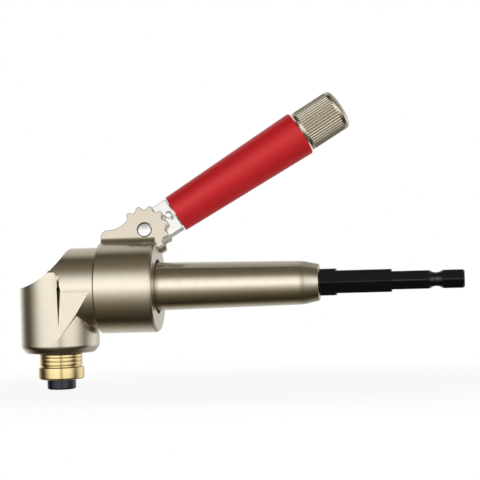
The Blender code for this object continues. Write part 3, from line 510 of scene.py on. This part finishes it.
def elbow_form():
    upright = upright_form([
        (UPRIGHT_BOTTOM, 0), (UPRIGHT_BOTTOM, 12.25), (-20.3, UPRIGHT_R), (7.0, UPRIGHT_R),
        (7.0, 0),
    ], [(1, 0.35, 3), (2, 0.6, 3), (3, 1.2, 6)])
    # The upright barrel's top corner curves down to the side barrel
    shoulder = slab([
        (-1.2, 7.2), (0.6, 6.8), (1.6, 6.1), (2.15, 5.2), (2.4, 3.9), (2.8, 3.2), (15, 3.2),
        (15, 9), (-1.2, 9),
    ], -16, 16)
    housing = combined(upright, shoulder, "DIFFERENCE")
    side = turned([
        (SIDE_START, 0), (SIDE_START, 13.4), (3.3, SIDE_R), (SIDE_END, SIDE_R), (SIDE_END, 0),
    ], [(3, 0.35, 3)])
    housing = combined(housing, side, "UNION")
    crown = turned([(-UPRIGHT_R, 0), (-UPRIGHT_R, CROWN_R), (8.7, CROWN_R), (8.7, 0)])
    limit = upright_form([(-11.2, 0), (-11.2, 13.9), (28, 13.9), (28, 0)])
    housing = combined(housing, combined(crown, limit, "INTERSECT"), "UNION")
    web = slab([
        (2.45, 0.8), (14.6, 0.8), (14.4, 0.0), (8.8, -9.0), (1.9, -18.2), (-0.3, -18.9),
        (-0.9, -18.4),
    ], -WEB_HALF, WEB_HALF)
    housing = combined(housing, web, "UNION")
    for hand in (-1, 1):
        housing = combined(housing, crease(hand), "DIFFERENCE")
    scoop = slab(arc(SCOOP_CENTRE, SCOOP_R, 0, 357.5, 143), -28.4, 28.4)
    housing = combined(housing, scoop, "DIFFERENCE")
    # Seats of the seal, circlip, spindle bearing and gears, and the upper bush's pocket
    cavity = upright_form([
        (-23, 0), (-23, 9.8), (-19.1, 9.8), (-19.1, 10.5), (-17.9, 10.5), (-17.9, 9.8),
        (-12.6, 9.8), (-12.6, 9.15), (-1.5, 9.15), (-1.5, 4.5), (2.3, 4.5), (2.3, 0),
    ], steps=96)
    housing = combined(housing, cavity, "DIFFERENCE")
    bore = turned([
        (5, 0), (5, 9.2), (7.9, 9.2), (7.9, JOURNAL_R), (15.5, JOURNAL_R), (15.5, 0),
    ], steps=96)
    return combined(housing, bore, "DIFFERENCE")


class ADAPTER_OT_housing(bpy.types.Operator):
    """Cast elbow with its two barrels, scooped back and web"""
    bl_idname = "adapter.housing"
    bl_label = "Cast elbow"

    def execute(self, context):
        elbow = piece(
            "cast_elbow", elbow_form(), HEAD, satin_nickel_cast(), "head",
            ["head_housing"],
        )
        # The faces of the slits get the painted crease shade as the elbow's second material
        elbow.data.materials.append(painted_crease_shade())
        paint_crease_shade(elbow)
        return {"FINISHED"}


class ADAPTER_OT_neck(bpy.types.Operator):
    """Tapered neck that the shaft runs in"""
    bl_idname = "adapter.neck"
    bl_label = "Neck"

    def execute(self, context):
        # Spigot, journal with the collar's circlip groove, taper and rim, then the bore back
        form = turned([
            (8.2, 9.2), (8.2, 10.2), (30.0, 10.2), (30.0, 8.65), (33.8, 8.56), (33.8, 7.96),
            (35.1, 7.94), (35.1, 8.54), (87.4, 7.67), (93.3, 6.4), (93.3, 4.6), (90.5, 4.6),
            (90.5, 5.9), (84.2, 5.9), (84.2, 6.3), (18.3, 6.3), (18.3, 8.3), (13.0, 8.3),
            (13.0, 9.2),
        ], [(8, 1.2, 4), (9, 0.4, 3), (10, 0.2, 2)])
        piece("neck_barrel", form, HEAD, nickel_neck(), "head", ["neck_tube"])
        return {"FINISHED"}


def turned_down(start, end, flats, ends):
    """Length of hexagon bar whose ends are chamfered on the lathe.

    Each end is (radius of its face, length of the chamfer).
    """
    corner = flats / math.sqrt(3) + 0.05
    low, high = ends
    profile = [
        (start, 0), (start, low[0]), (start + low[1], corner), (end - high[1], corner),
        (end, high[0]), (end, 0),
    ]
    return combined(hex_bar(start - 1, end + 1, flats, 0.3), turned(profile, steps=96), "INTERSECT")


class ADAPTER_OT_shank(bpy.types.Operator):
    """Black drive shank: a hexagon in three steps with a power groove"""
    bl_idname = "adapter.shank"
    bl_label = "Drive shank"

    def execute(self, context):
        form = turned([
            (5.0, 0), (5.0, 2.8), (12.7, 2.8), (12.7, 3.7), (18.3, 3.7), (18.3, 4.8), (84.2, 4.8),
            (84.2, 4.0), (94.0, 4.0), (94.0, 0),
        ], steps=96)
        merge(form, turned_down(93.6, 99.2, FIRST_HEX, ((5.4, 0.01), (4.75, 0.6))))
        merge(form, turned_down(98.6, 118.5, MIDDLE_HEX, ((4.6, 0.01), (4.0, 0.6))))
        merge(form, turned_down(118.0, 131.7, DRIVE_HEX, ((3.7, 0.01), (3.1, 0.7))))
        groove = turned([
            (131.2, 0), (131.2, 3.1), (131.7, 3.1), (132.9, 2.4), (134.7, 2.4), (136.0, 3.1),
            (136.5, 3.1), (136.5, 0),
        ], [(3, 0.7, 4), (4, 0.7, 4)], steps=96)
        merge(form, groove)
        merge(form, turned_down(136.0, 143.7, DRIVE_HEX, ((3.1, 0.8), (2.75, 1.0))))
        piece(
            "hex_shank", form, HEAD, black_oxide_drawn(), "input", ["input_shaft"],
            sharp=22,
        )
        return {"FINISHED"}


class ADAPTER_OT_nose(bpy.types.Operator):
    """Output spindle with its hexagon socket"""
    bl_idname = "adapter.nose"
    bl_label = "Spindle nose"

    def execute(self, context):
        form = turned([
            (NOSE_END, 0), (NOSE_END, NOSE_R), (-18.2, NOSE_R), (-18.2, 4.7), (-12.9, 4.7),
            (-12.9, 2.8), (-5.7, 2.8), (-5.7, 2.5), (2.0, 2.5), (2.0, 0),
        ], [(1, 0.6, 4)], steps=96)
        form = combined(form, hex_bar(NOSE_END - 1, -15.0, 6.45, 0.05), "DIFFERENCE")
        hole = turned([(1.6, 0), (1.6, 1.4), (10.4, 1.4), (10.4, 0)], steps=32)
        ball_seat = Matrix.Translation((-23.4 * MM, 0, 0))
        hole.transform(ball_seat @ Matrix.Rotation(math.radians(90), 4, "Y"))
        form = combined(form, hole, "DIFFERENCE")
        piece(
            "bit_nose", form, UPRIGHT, black_oxide_turned(), "output",
            ["output_spindle"],
        )
        return {"FINISHED"}


class ADAPTER_OT_sleeve(bpy.types.Operator):
    """Brass quick-change sleeve with two fine grooves and a wider ring"""
    bl_idname = "adapter.sleeve"
    bl_label = "Chuck sleeve"

    def execute(self, context):
        profile = [(SLEEVE_TOP, 5.4), (SLEEVE_TOP, SLEEVE_R)]
        for groove in SLEEVE_GROOVES:
            profile += [(groove + 0.16, SLEEVE_R), (groove, 7.44), (groove - 0.16, SLEEVE_R)]
        profile += [
            (-27.1, SLEEVE_R), (-27.15, 7.0), (RING_TOP, 7.0), (RING_TOP, RING_R),
            (RING_BOTTOM, RING_R), (RING_BOTTOM, 6.75), (-25.0, 6.75), (-25.0, 5.4),
        ]
        rounds = [(1, 0.35, 3), (2, 0.05, 2), (4, 0.05, 2), (5, 0.05, 2), (7, 0.05, 2)]
        rounds += [(8, 0.08, 2), (11, 0.5, 3), (12, 0.7, 4), (13, 0.2, 2)]
        piece(
            "brass_sleeve", turned(profile, rounds), UPRIGHT, turned_brass(), "sleeve",
            ["chuck_sleeve"],
        )
        return {"FINISHED"}


def ear_outline():
    """Side of an ear plate: the sweep up from the collar, then seven lobes and six notches."""
    left, right, base = 15.8, 35.7, 12.3
    pivot_x, pivot_z = PIVOT_X / MM, PIVOT_HEIGHT / MM
    half_step = math.radians(NOTCH_STEP / 2)
    cosine, sine = math.cos(half_step), math.sin(half_step)
    # A lobe's circle touches the notches on both sides of it and ends at the tip radius
    reach = EAR_TIP + NOTCH_R
    lobe_at = (reach ** 2 - NOTCH_AT ** 2) / (2 * (reach - NOTCH_AT * cosine))
    lobe_r = EAR_TIP - lobe_at
    lobe_half = math.degrees(math.atan2(NOTCH_AT * sine, NOTCH_AT * cosine - lobe_at))
    notch_half = math.degrees(math.atan2(lobe_at * sine, NOTCH_AT - lobe_at * cosine))

    def around(radius, angle):
        turn = math.radians(angle)
        return (pivot_x + radius * math.cos(turn), pivot_z + radius * math.sin(turn))

    points = [(right, base), (left, base)]
    points += arc((left + 2.6, 17.3), 2.6, 180, 90, 10)
    points += arc((left + 2.6, 28.4), 8.5, -90, -35, 14)[1:]
    first = math.degrees(HANDLE_ANGLE) + NOTCH_STEP * 3.5
    for k in range(7):
        angle = first - NOTCH_STEP * k
        start = 180 if k == 0 else angle + lobe_half
        end = -90 if k == 6 else angle - lobe_half
        points += arc(around(lobe_at, angle), lobe_r, start, end, 9)
        if k < 6:
            notch = angle - NOTCH_STEP / 2
            inwards = notch + 180
            points += arc(
                around(NOTCH_AT, notch), NOTCH_R, inwards - notch_half, inwards + notch_half, 9,
            )[1:-1]
    points += [(right + 1.4, 13.1), (right, 13.1)]
    return points


def collar_form():
    ring = turned([
        (COLLAR_START, JOURNAL_R), (COLLAR_START, 15.3), (15.8, COLLAR_R), (35.1, COLLAR_R),
        (COLLAR_END, 15.6), (COLLAR_END, 9.6), (33.5, 9.6), (33.5, 8.95), (31.3, 8.95),
        (31.3, JOURNAL_R),
    ], [(1, 0.1, 2), (2, 0.1, 2), (3, 0.15, 2), (4, 0.15, 2), (5, 0.25, 2)])
    ears = slab(ear_outline(), -EAR_HALF, EAR_HALF, rim=sizes().plate_edge / MM)
    form = combined(ring, ears, "UNION")
    right_side = arc((7.9, 17.1), 3.0, -90, -180, 12)
    left_side = [(-y, z) for y, z in reversed(right_side)]
    saddle = slab(
        [(-7.9, 12.6), (7.9, 12.6)] + right_side + left_side, 16.1, 35.4, normal="X",
    )
    form = combined(form, saddle, "UNION")
    fork = slab([(14, FORK_FLOOR), (50, FORK_FLOOR), (50, 40), (14, 40)], -FORK_HALF, FORK_HALF)
    form = combined(form, fork, "DIFFERENCE")
    hole = turned([(-10, 0), (-10, HINGE_HOLE_R), (10, HINGE_HOLE_R), (10, 0)], steps=72)
    hinge = Matrix.Translation((PIVOT_X, 0, PIVOT_HEIGHT))
    hole.transform(hinge @ Matrix.Rotation(math.radians(90), 4, "Z"))
    return combined(form, hole, "DIFFERENCE")


class ADAPTER_OT_collar(bpy.types.Operator):
    """Collar with the two notched ear plates that carry the handle"""
    bl_idname = "adapter.collar"
    bl_label = "Handle collar"

    def execute(self, context):
        piece(
            "swivel_collar", collar_form(), COLLAR, satin_nickel_turned(), "collar",
            ["handle_collar"],
        )
        return {"FINISHED"}


def cross_pin(radius, chamfer, steps):
    """Pin that spans the two ears, along local X."""
    return turned([
        (-EAR_HALF, 0), (-EAR_HALF, radius), (EAR_HALF, radius), (EAR_HALF, 0),
    ], [(1, *chamfer), (2, *chamfer)], steps=steps)


def yoke_form(across):
    """Flat tongue with the hinge hole and the slot for the lock pin, and the bored shank."""
    tongue = slab(
        arc((0, 0), TONGUE_R, 90, 270, 40) + [(TONGUE_END, -TONGUE_R), (TONGUE_END, TONGUE_R)],
        -TONGUE_HALF, TONGUE_HALF, rim=0.3,
    )
    shank = turned([
        (11.95, 0), (11.95, YOKE_R), (CLIP_START, YOKE_R), (CLIP_START, 4.2), (CLIP_END, 4.2),
        (CLIP_END, YOKE_R), (YOKE_END, YOKE_R), (YOKE_END, 0),
    ], steps=72)
    yoke = combined(tongue, shank, "UNION")
    hole = turned([(-7, 0), (-7, HINGE_HOLE_R), (7, HINGE_HOLE_R), (7, 0)], steps=72)
    hole.transform(across)
    yoke = combined(yoke, hole, "DIFFERENCE")
    locked = arc((NOTCH_AT, 0), LOCK_SLOT_R, 90, 270, 16)
    free = arc((LOCK_PIN_AT, 0), LOCK_SLOT_R, -90, 90, 16)
    yoke = combined(yoke, slab(locked + free, -7, 7), "DIFFERENCE")
    bore = turned([
        (LOCK_PIN_AT, 0), (LOCK_PIN_AT, 1.5), (58.2, 1.5), (58.2, 2.7), (70, 2.7), (70, 0),
    ], steps=48)
    return combined(yoke, bore, "DIFFERENCE")


class ADAPTER_OT_hinge(bpy.types.Operator):
    """Hinge pin, flat yoke and the cross pin that locks them"""
    bl_idname = "adapter.hinge"
    bl_label = "Hinge and yoke"

    def execute(self, context):
        across = Matrix.Rotation(math.radians(90), 4, "Z")
        hinge = COLLAR @ Matrix.Translation((PIVOT_X, 0, PIVOT_HEIGHT)) @ across
        piece(
            "hinge_pin", cross_pin(HINGE_PIN_R, (0.3, 3), 72), hinge, polished_steel(), "collar",
            ["pivot_pin"],
        )
        piece(
            "flat_yoke", yoke_form(across), HANDLE, polished_steel(), "handle",
            ["handle_yoke"],
        )
        place = HANDLE @ Matrix.Translation((LOCK_PIN_AT * MM, 0, 0)) @ across
        piece(
            "lock_pin", cross_pin(LOCK_PIN_R, (0.2, 2), 48), place, polished_steel(), "lock",
            ["lock_cross_pin"],
        )
        return {"FINISHED"}


class ADAPTER_OT_grip(bpy.types.Operator):
    """Tapered red grip"""
    bl_idname = "adapter.grip"
    bl_label = "Grip"

    def execute(self, context):
        form = turned([
            (GRIP_START, 5.1), (GRIP_START, 6.9), (GRIP_END, 8.3), (GRIP_END, 5.1),
        ], [(1, 0.3, 3), (2, 0.7, 4)])
        grip = piece(
            "anodised_grip", form, HANDLE, red_anodised(), "handle",
            ["grip_sleeve"],
        )
        grip.visible_glossy = False
        return {"FINISHED"}


def knurl(form):
    """Press straight grooves into the knob, with flat tops between them."""
    ridges, depth = sizes().ridges, sizes().knurl_depth
    for vert in form.verts:
        radius = math.hypot(vert.co.y, vert.co.z)
        if radius > (KNOB_R - 0.1) * MM and KNURL_START * MM < vert.co.x < KNURL_END * MM:
            turn = math.atan2(vert.co.z, vert.co.y) / math.tau * ridges
            groove = max(0, 2 * abs((turn % 1) * 2 - 1) - 1)
            vert.co.yz = vert.co.yz * (1 - depth * groove / radius)


class ADAPTER_OT_knob(bpy.types.Operator):
    """Knurled lock knob"""
    bl_idname = "adapter.knob"
    bl_label = "Lock knob"

    def execute(self, context):
        # Outside, domed end, then the threaded bore and the clip's groove back to the open end
        form = turned([
            (KNOB_START, 5.1), (KNOB_START, KNOB_R), (67.0, KNOB_R), (67.3, KNOB_R), (79.7, KNOB_R),
            (80.0, KNOB_R), (81.1, KNOB_R), (82.1, 6.5), (82.65, 4.4), (82.9, 2.2), (82.95, 0),
            (77.8, 0), (77.8, 2.7), (69.6, 2.7), (69.6, 5.1), (CLIP_END, 5.1), (CLIP_END, 6.2),
            (CLIP_START, 6.2), (CLIP_START, 5.1),
        ], [(1, 0.35, 2), (6, 0.25, 3), (7, 0.3, 3)], steps=sizes().ridges * 4)
        knurl(form)
        piece(
            "knurled_knob", form, HANDLE, nickel_knurl(), "knob", ["lock_knob"],
            sharp=50,
        )
        return {"FINISHED"}


INNER_METALS = {
    "input_bearing_outer": "steel", "input_bearing_inner": "steel",
    "spindle_bearing_outer": "steel", "spindle_bearing_inner": "steel",
    "bevel_pinion": "steel", "bevel_gear": "steel",
    "collar_circlip": "spring", "friction_washer": "spring", "spindle_bearing_circlip": "spring",
    "sleeve_stop_ring": "spring", "spring_washer": "spring", "washer_circlip": "spring",
    "chuck_spring": "spring", "knob_clip": "spring", "chuck_ball": "steel", "lock_rod": "steel",
    "neck_bush": "bronze", "upper_spindle_bush": "bronze", "spindle_seal": "rubber",
}


def inner_metal(kind):
    if kind == "steel":
        # Hardened and ground bearing steel: bright and even.
        return worked_metal(
            "bearing steel, ground", linear("#B9BBBE"), 0.22, HEAD, (0.3, 0.3), 0.05, 0.003,
        )
    if kind == "spring":
        # Spring steel with phosphate coating: dark grey and dull.
        return worked_metal(
            "spring steel, phosphated", linear("#5E6064"), 0.42, HEAD, (0.25, 0.25), 0.08, 0.004,
        )
    if kind == "bronze":
        # Sintered bronze: porous grain of about 0.1 mm, drawn at 0.25 mm.
        return worked_metal(
            "bronze, sintered", linear("#A97B4A"), 0.45, HEAD, (0.25, 0.25), 0.1, 0.02,
            mottle=0.25,
        )
    # Nitrile rubber: black and matt with a fine moulded grain.
    return worked_metal(
        "nitrile rubber, moulded", linear("#1A1A1B"), 0.65, HEAD, (0.2, 0.2), 0.08, 0.01,
        metallic=0.0,
    )


class ADAPTER_OT_inner(bpy.types.Operator):
    """Finishes for the parts that stay inside"""
    bl_idname = "adapter.inner"
    bl_label = "Inner parts"

    def execute(self, context):
        for name, kind in INNER_METALS.items():
            mesh = frame["nodes"][name].data
            mesh.materials.clear()
            mesh.materials.append(inner_metal(kind))
        return {"FINISHED"}


# Stage: a camera fitted to the outline in the photograph, which is 480 pixels square

PHOTO_PIXELS = 480
SENSOR_MM = 36
YAW, ROLL = math.radians(7.0), math.radians(1.7)
CAMERA_DISTANCE = 610.2 * MM
GEAR_PIXEL = (59.0, 289.1)
FLOOR_GAP = 0.2 * MM
ROOM_STRENGTH = 1.7


def floor_paper():
    """Matt white paper that looks white to the camera and keeps the shadow."""
    made = bpy.data.materials.new("matt white paper")
    made.use_nodes = True
    tree = made.node_tree
    tree.nodes.clear()
    rays = add(tree, "ShaderNodeLightPath")
    where = add(tree, "ShaderNodeTexCoord").outputs["Object"]
    # Under the object a tenth of the paper shows, with its shadow, and past the oval it is white
    oval = add(tree, "ShaderNodeMapping", {
        "Vector": where, "Location": (-0.08, 0, CAD_BOX[0][2]), "Scale": (2.2, 1.0, 1.0),
    }, vector_type="TEXTURE")
    away = add(tree, "ShaderNodeVectorMath", {0: oval.outputs["Vector"]}, operation="LENGTH")
    white = add(tree, "ShaderNodeMapRange", {
        "Value": away.outputs["Value"], "From Min": 0.02, "From Max": 0.12,
        "To Min": 0.9, "To Max": 1.0,
    }, interpolation_type="SMOOTHSTEP")
    seen = add(tree, "ShaderNodeMath", {
        0: rays.outputs["Is Camera Ray"], 1: white.outputs[0],
    }, operation="MULTIPLY")
    paper = add(tree, "ShaderNodeBsdfDiffuse", {"Color": (*linear("#F4F3F1"), 1.0)})
    glow = add(tree, "ShaderNodeEmission", {"Color": (1.0, 1.0, 1.0, 1.0), "Strength": 1.0})
    mixed = add(tree, "ShaderNodeMixShader", {
        0: seen.outputs[0], 1: paper.outputs[0], 2: glow.outputs[0],
    })
    add(tree, "ShaderNodeOutputMaterial", {"Surface": mixed.outputs[0]})
    return made


def studio_world(strength):
    """White room with one wide softbox in front, dark above and below it.

    Bands and panels are (degrees, grey), with 0 in front of the object and 180 behind it. Bands
    turn about its length, with 90 above, and panels about its height, with 90 at the shank's end.
    """
    world = bpy.data.worlds.new("studio")
    world.use_nodes = True
    tree = world.node_tree
    tree.nodes.clear()
    ray = add(tree, "ShaderNodeTexCoord").outputs["Generated"]
    parts = add(tree, "ShaderNodeSeparateXYZ", {"Vector": ray}).outputs
    towards = add(tree, "ShaderNodeMath", {0: parts["Y"], 1: -1.0}, operation="MULTIPLY").outputs[0]

    def round_share(side):
        angle = add(tree, "ShaderNodeMath", {0: side, 1: towards}, operation="ARCTAN2")
        return add(tree, "ShaderNodeMath", {
            0: angle.outputs[0], 1: 1 / math.tau, 2: 0.5,
        }, operation="MULTIPLY_ADD").outputs[0]

    def at(degrees):
        return degrees / 360 + 0.5

    def warm(grey):
        return (grey, grey * min(1, 0.83 + 0.45 * grey), grey * min(1, 0.5 + 1.2 * grey))

    height = add(tree, "ShaderNodeValToRGB", {"Fac": round_share(parts["Z"])})
    bands = (
        (-180, 0.8), (-150, 0.5), (-131, 0.38), (-120, 0.24), (-109, 0.1), (-96, 0.038),
        (-80, 0.03), (-62, 0.05), (-45, 0.1), (-36, 0.16), (-26, 0.26), (-16, 0.42), (-7, 0.68),
        (-1, 0.92), (10, 0.93), (20, 0.84), (28, 0.66), (36, 0.42), (44, 0.2), (54, 0.12),
        (70, 0.085), (86, 0.1), (97, 0.17), (110, 0.34), (130, 0.44), (150, 0.5), (180, 0.8),
    )
    shades(height, [(at(angle), warm(grey)) for angle, grey in bands])
    turn = add(tree, "ShaderNodeValToRGB", {"Fac": round_share(parts["X"])})
    panels = (
        (-180, 0.6), (-165, 0.9), (-146, 1.0), (-128, 0.6), (-108, 0.1), (-95, 0.11),
        (-82, 0.17), (-72, 0.3), (-62, 0.52), (-52, 0.8), (-42, 1.0), (6, 1.0), (10, 0.3),
        (16, 0.3), (20, 1.0), (58, 1.0), (76, 0.62), (98, 0.5), (116, 0.8), (130, 0.9),
        (150, 0.6), (180, 0.45),
    )
    shades(turn, [(at(angle), warm(grey)) for angle, grey in panels])
    room = add(tree, "ShaderNodeMix", {
        "Factor": 1.0, 6: height.outputs["Color"], 7: turn.outputs["Color"],
    }, data_type="RGBA", blend_type="MULTIPLY")
    studio = add(tree, "ShaderNodeBackground", {
        "Color": room.outputs[2], "Strength": ROOM_STRENGTH * strength,
    })
    white = add(tree, "ShaderNodeBackground", {"Color": (1.0, 1.0, 1.0, 1.0), "Strength": 1.0})
    rays = add(tree, "ShaderNodeLightPath")
    mixed = add(tree, "ShaderNodeMixShader", {
        0: rays.outputs["Is Camera Ray"], 1: studio.outputs[0], 2: white.outputs[0],
    })
    add(tree, "ShaderNodeOutputWorld", {"Surface": mixed.outputs[0]})
    return world


def paper_floor():
    """Sheet of paper just below the lowest point of the object, unseen in reflections."""
    bm = bmesh.new()
    bmesh.ops.create_grid(bm, x_segments=4, y_segments=4, size=2.0)
    bmesh.ops.translate(bm, verts=bm.verts, vec=(0, 0, CAD_BOX[0][2] - FLOOR_GAP))
    mesh = bpy.data.meshes.new("floor")
    bm.to_mesh(mesh)
    bm.free()
    mesh.materials.append(floor_paper())
    floor = bpy.data.objects.new("floor", mesh)
    floor.visible_glossy = False
    return floor


def photo_camera(lens):
    """Camera that puts the gear centre on its pixel in the photograph."""
    right = Vector((math.cos(YAW), math.sin(YAW), 0))
    ahead = Vector((-math.sin(YAW), math.cos(YAW), 0))
    up = Vector((0, 0, 1))
    image_x = right * math.cos(ROLL) - up * math.sin(ROLL)
    image_y = right * math.sin(ROLL) + up * math.cos(ROLL)
    pixels = lens / SENSOR_MM * PHOTO_PIXELS
    across, above = GEAR_PIXEL[0] - PHOTO_PIXELS / 2, PHOTO_PIXELS / 2 - GEAR_PIXEL[1]
    place = GEAR_CENTRE - ahead * CAMERA_DISTANCE
    place -= (image_x * across + image_y * above) * CAMERA_DISTANCE / pixels
    data = bpy.data.cameras.new("camera")
    data.sensor_width = SENSOR_MM
    data.lens = lens
    data.clip_start, data.clip_end = 0.01, 20
    camera = bpy.data.objects.new("camera", data)
    turn = Matrix((image_x, image_y, -ahead)).transposed().to_4x4()
    camera.matrix_world = Matrix.Translation(place) @ turn
    return camera


class ADAPTER_OT_stage(bpy.types.Operator):
    """Paper floor, studio room and the camera"""
    bl_idname = "adapter.stage"
    bl_label = "Stage"

    def execute(self, context):
        scene = context.scene
        settings = scene.adapter_stage
        floor = paper_floor()
        scene.collection.objects.link(floor)
        scene.world = studio_world(settings.light)
        camera = photo_camera(settings.lens)
        scene.collection.objects.link(camera)
        scene.camera = camera
        scene.view_settings.view_transform = "Standard"
        return {"FINISHED"}


class ADAPTER_PT_panel(bpy.types.Panel):
    """Lists the pieces of the adapter"""
    bl_idname = "ADAPTER_PT_panel"
    bl_label = "Right angle adapter"
    bl_space_type = "VIEW_3D"
    bl_region_type = "UI"
    bl_category = "Adapter"

    def draw(self, context):
        column = self.layout.column()
        scene = context.scene
        for settings in (scene.adapter_sizes, scene.adapter_finishes, scene.adapter_stage):
            for name in settings.bl_rna.properties.keys():
                if name not in ("rna_type", "name"):
                    column.prop(settings, name)
        for operator in OPERATORS:
            column.operator(operator.bl_idname)


OPERATORS = (
    ADAPTER_OT_housing, ADAPTER_OT_neck, ADAPTER_OT_shank, ADAPTER_OT_nose, ADAPTER_OT_sleeve,
    ADAPTER_OT_collar, ADAPTER_OT_hinge, ADAPTER_OT_grip, ADAPTER_OT_knob, ADAPTER_OT_inner,
    ADAPTER_OT_stage,
)
GROUPS = (AdapterSizes, AdapterFinishes, AdapterStage)


def register():
    for item in (*GROUPS, *OPERATORS, ADAPTER_PT_panel):
        bpy.utils.register_class(item)
    bpy.types.Scene.adapter_sizes = PointerProperty(type=AdapterSizes)
    bpy.types.Scene.adapter_finishes = PointerProperty(type=AdapterFinishes)
    bpy.types.Scene.adapter_stage = PointerProperty(type=AdapterStage)


def unregister():
    del bpy.types.Scene.adapter_stage
    del bpy.types.Scene.adapter_finishes
    del bpy.types.Scene.adapter_sizes
    for item in reversed((*GROUPS, *OPERATORS, ADAPTER_PT_panel)):
        bpy.utils.unregister_class(item)


def main():
    register()
    bpy.ops.adapter.stage()
    bpy.ops.adapter.housing()
    bpy.ops.adapter.neck()
    bpy.ops.adapter.shank()
    bpy.ops.adapter.nose()
    bpy.ops.adapter.sleeve()
    bpy.ops.adapter.collar()
    bpy.ops.adapter.hinge()
    bpy.ops.adapter.grip()
    bpy.ops.adapter.knob()
    bpy.ops.adapter.inner()


if __name__ == "__main__":
    main()
